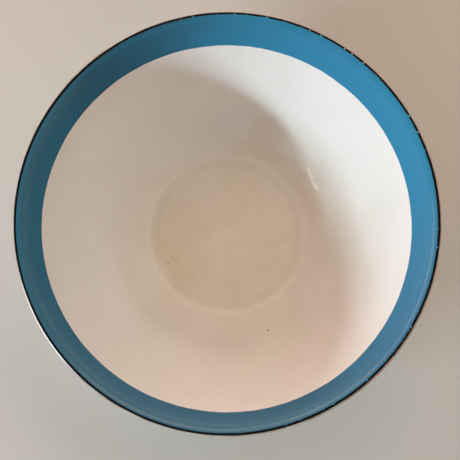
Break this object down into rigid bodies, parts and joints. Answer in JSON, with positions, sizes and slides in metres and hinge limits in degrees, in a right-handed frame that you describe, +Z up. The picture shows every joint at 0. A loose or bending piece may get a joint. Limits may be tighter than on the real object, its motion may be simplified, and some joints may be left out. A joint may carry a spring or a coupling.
{
  "type": "enamel basin bowl",
  "caption": "Round enamelled steel basin, white with a wide blue band inside the mouth, a rolled rim edged in black and a shallow pressed foot.",
  "frame": {"origin": "middle of the standing ring under the base, on the table", "axes": "+Z is up along the bowl's axis, out of its mouth; the bowl is round, so X and Y are any two level directions"},
  "size_m": [0.28, 0.28, 0.086],
  "materials": {
    "sheet_steel": "cold-rolled sheet, covered all over",
    "ground_enamel": "dark fired ground coat",
    "white_enamel": "glossy fired enamel",
    "blue_enamel": "glossy fired enamel",
    "black_enamel": "glossy fired enamel, brushed on"
  },
  "bodies": {
    "root": {"steel_shell": "sheet_steel", "inner_ground_coat": "ground_enamel", "outer_ground_coat": "ground_enamel", "white_lining": "white_enamel", "white_outer_coat": "white_enamel", "blue_band": "blue_enamel", "rim_edging": "black_enamel"}
  },
  "joints": []
}
